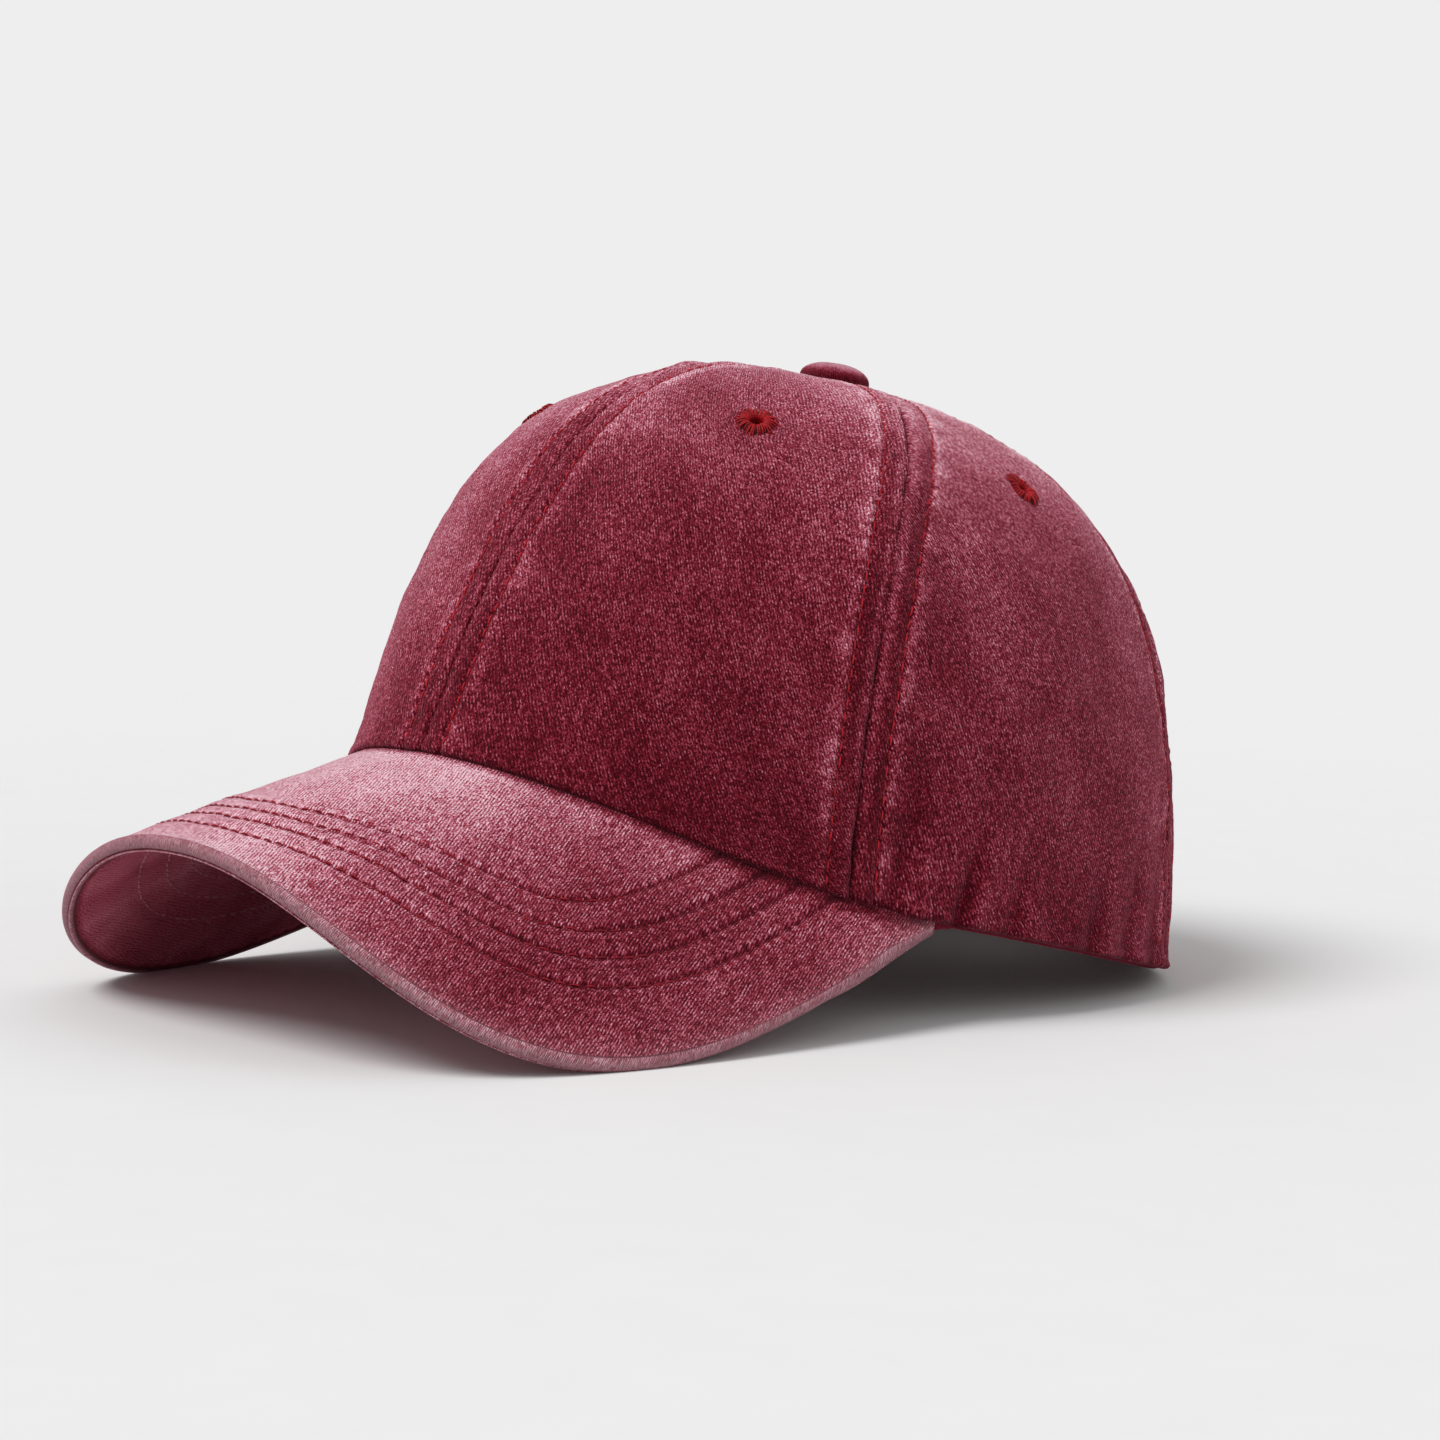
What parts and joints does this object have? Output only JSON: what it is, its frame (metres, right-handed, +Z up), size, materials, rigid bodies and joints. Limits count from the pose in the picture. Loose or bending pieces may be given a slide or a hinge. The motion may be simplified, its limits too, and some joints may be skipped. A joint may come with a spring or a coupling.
{
  "type": "ponytail baseball cap",
  "caption": "Washed cotton baseball cap with a curved peak, sewn panels, a top button and a ponytail slit above its back strap.",
  "frame": {"origin": "on the surface it lies on, under the middle of the whole cap's box", "axes": "+X to the wearer's left, -Y towards the peak, +Z up from the surface"},
  "size_m": [0.1748, 0.2628, 0.1394],
  "materials": {
    "crown_twill": "washed cotton twill, faded along the seams",
    "peak_twill": "washed cotton twill, faded at the rim",
    "thread": "embroidered red thread",
    "band_cotton": "plain cotton band"
  },
  "bodies": {
    "root": {"panel_front_left": "crown_twill", "panel_front_right": "crown_twill", "panel_side_left": "crown_twill", "panel_side_right": "crown_twill", "panel_back_left": "crown_twill", "panel_back_right": "crown_twill", "eyelet_front_left": "thread", "eyelet_front_right": "thread", "eyelet_side_left": "thread", "eyelet_side_right": "thread", "eyelet_back_left": "thread", "eyelet_back_right": "thread", "brim": "peak_twill", "sweatband": "band_cotton", "back_strap": "crown_twill", "top_button": "crown_twill"}
  },
  "joints": []
}
